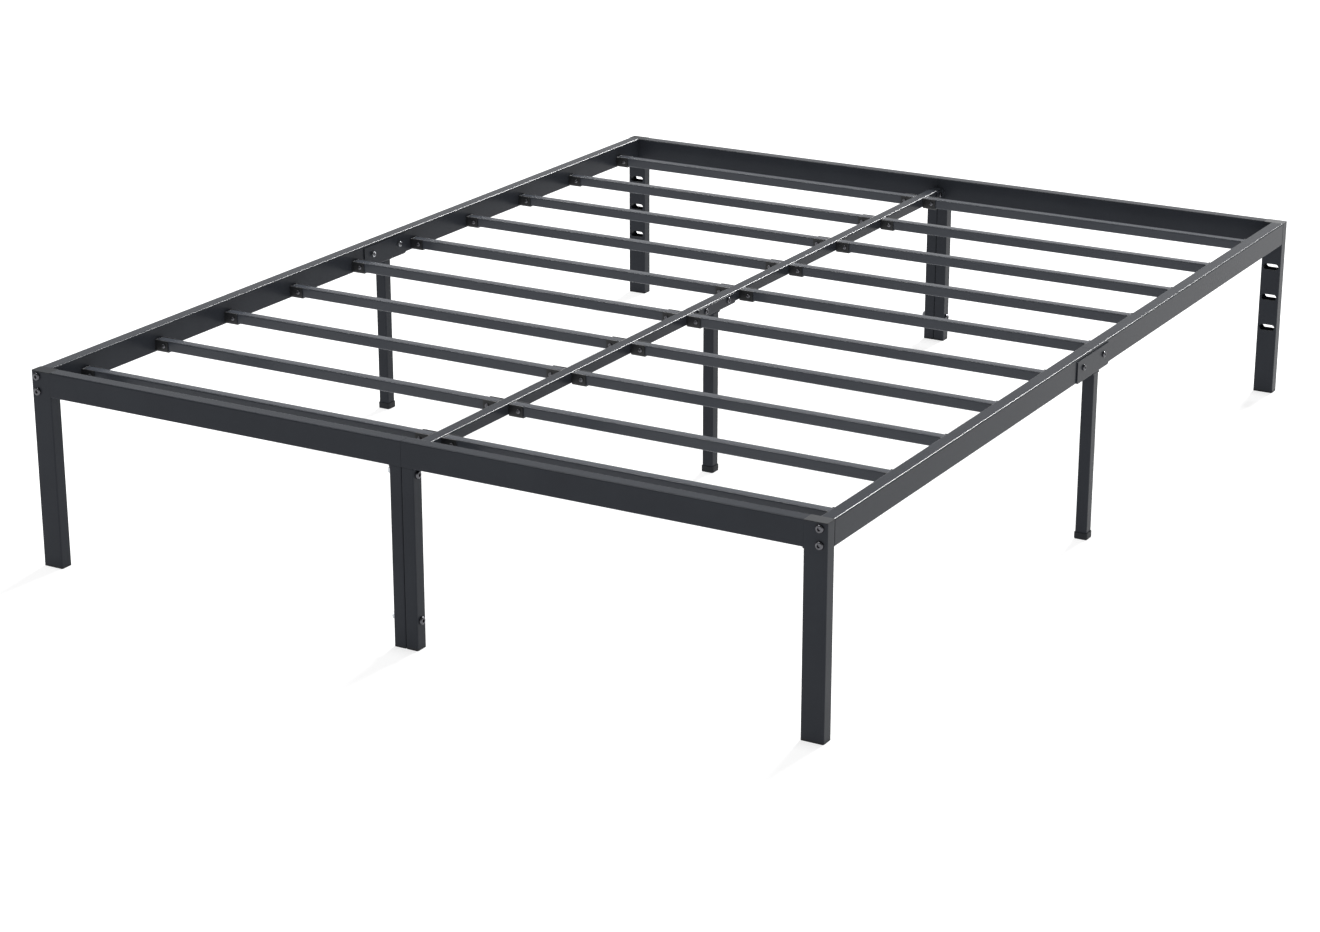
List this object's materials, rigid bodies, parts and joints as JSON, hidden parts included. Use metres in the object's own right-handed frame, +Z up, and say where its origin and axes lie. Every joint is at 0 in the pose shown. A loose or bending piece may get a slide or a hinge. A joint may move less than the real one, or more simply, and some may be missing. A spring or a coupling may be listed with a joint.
{
  "type": "metal bed frame",
  "caption": "Slatted platform bed frame of rectangular steel tube: bolted side rails, split end frames, centre rail, middle legs and headboard slots.",
  "frame": {"origin": "on the floor, under the centre of the bed", "axes": "+X to the right side seen from the foot, +Y from the foot to the head, +Z up"},
  "size_m": [1.531, 2.0388, 0.356],
  "materials": {
    "frame_powder_coat": "satin charcoal-black powder coat",
    "slat_powder_coat": "satin charcoal-black powder coat",
    "nylon_socket": "moulded black nylon",
    "cap_plastic": "moulded black polyethylene",
    "black_bolt": "black oxide",
    "zinc_nut": "zinc plated",
    "slat_screw": "black zinc plated",
    "weld_plate": "powder coated steel plate"
  },
  "bodies": {
    "root": {"centre_middle_leg": "frame_powder_coat", "centre_rail_foot_half": "frame_powder_coat", "centre_rail_head_half": "frame_powder_coat", "centre_saddle": "frame_powder_coat", "centre_slat_sockets": "nylon_socket", "corner_bolts": "black_bolt", "corner_leg_feet": "cap_plastic", "corner_leg_top_caps": "cap_plastic", "foot_left_corner_leg": "frame_powder_coat", "foot_left_end_rail": "frame_powder_coat", "foot_left_half_leg": "frame_powder_coat", "foot_rail_hanger": "frame_powder_coat", "foot_right_corner_leg": "frame_powder_coat", "foot_right_end_rail": "frame_powder_coat", "foot_right_half_leg": "frame_powder_coat", "half_leg_bolts": "black_bolt", "half_leg_feet": "cap_plastic", "half_leg_nuts": "zinc_nut", "head_left_corner_leg": "frame_powder_coat", "head_left_end_rail": "frame_powder_coat", "head_left_half_leg": "frame_powder_coat", "head_rail_hanger": "frame_powder_coat", "head_right_corner_leg": "frame_powder_coat", "head_right_end_rail": "frame_powder_coat", "head_right_half_leg": "frame_powder_coat", "left_middle_leg": "frame_powder_coat", "left_saddle": "frame_powder_coat", "left_side_rail_foot_half": "frame_powder_coat", "left_side_rail_head_half": "frame_powder_coat", "left_slat_01": "slat_powder_coat", "left_slat_02": "slat_powder_coat", "left_slat_03": "slat_powder_coat", "left_slat_04": "slat_powder_coat", "left_slat_05": "slat_powder_coat", "left_slat_06": "slat_powder_coat", "left_slat_07": "slat_powder_coat", "left_slat_08": "slat_powder_coat", "left_slat_09": "slat_powder_coat", "left_slat_10": "slat_powder_coat", "middle_leg_shoes": "cap_plastic", "rail_joint_bolts": "black_bolt", "rail_joint_nuts": "zinc_nut", "right_middle_leg": "frame_powder_coat", "right_saddle": "frame_powder_coat", "right_side_rail_foot_half": "frame_powder_coat", "right_side_rail_head_half": "frame_powder_coat", "right_slat_01": "slat_powder_coat", "right_slat_02": "slat_powder_coat", "right_slat_03": "slat_powder_coat", "right_slat_04": "slat_powder_coat", "right_slat_05": "slat_powder_coat", "right_slat_06": "slat_powder_coat", "right_slat_07": "slat_powder_coat", "right_slat_08": "slat_powder_coat", "right_slat_09": "slat_powder_coat", "right_slat_10": "slat_powder_coat", "side_rail_end_plates": "weld_plate", "side_slat_sockets": "nylon_socket", "slat_screws": "slat_screw"}
  },
  "joints": []
}
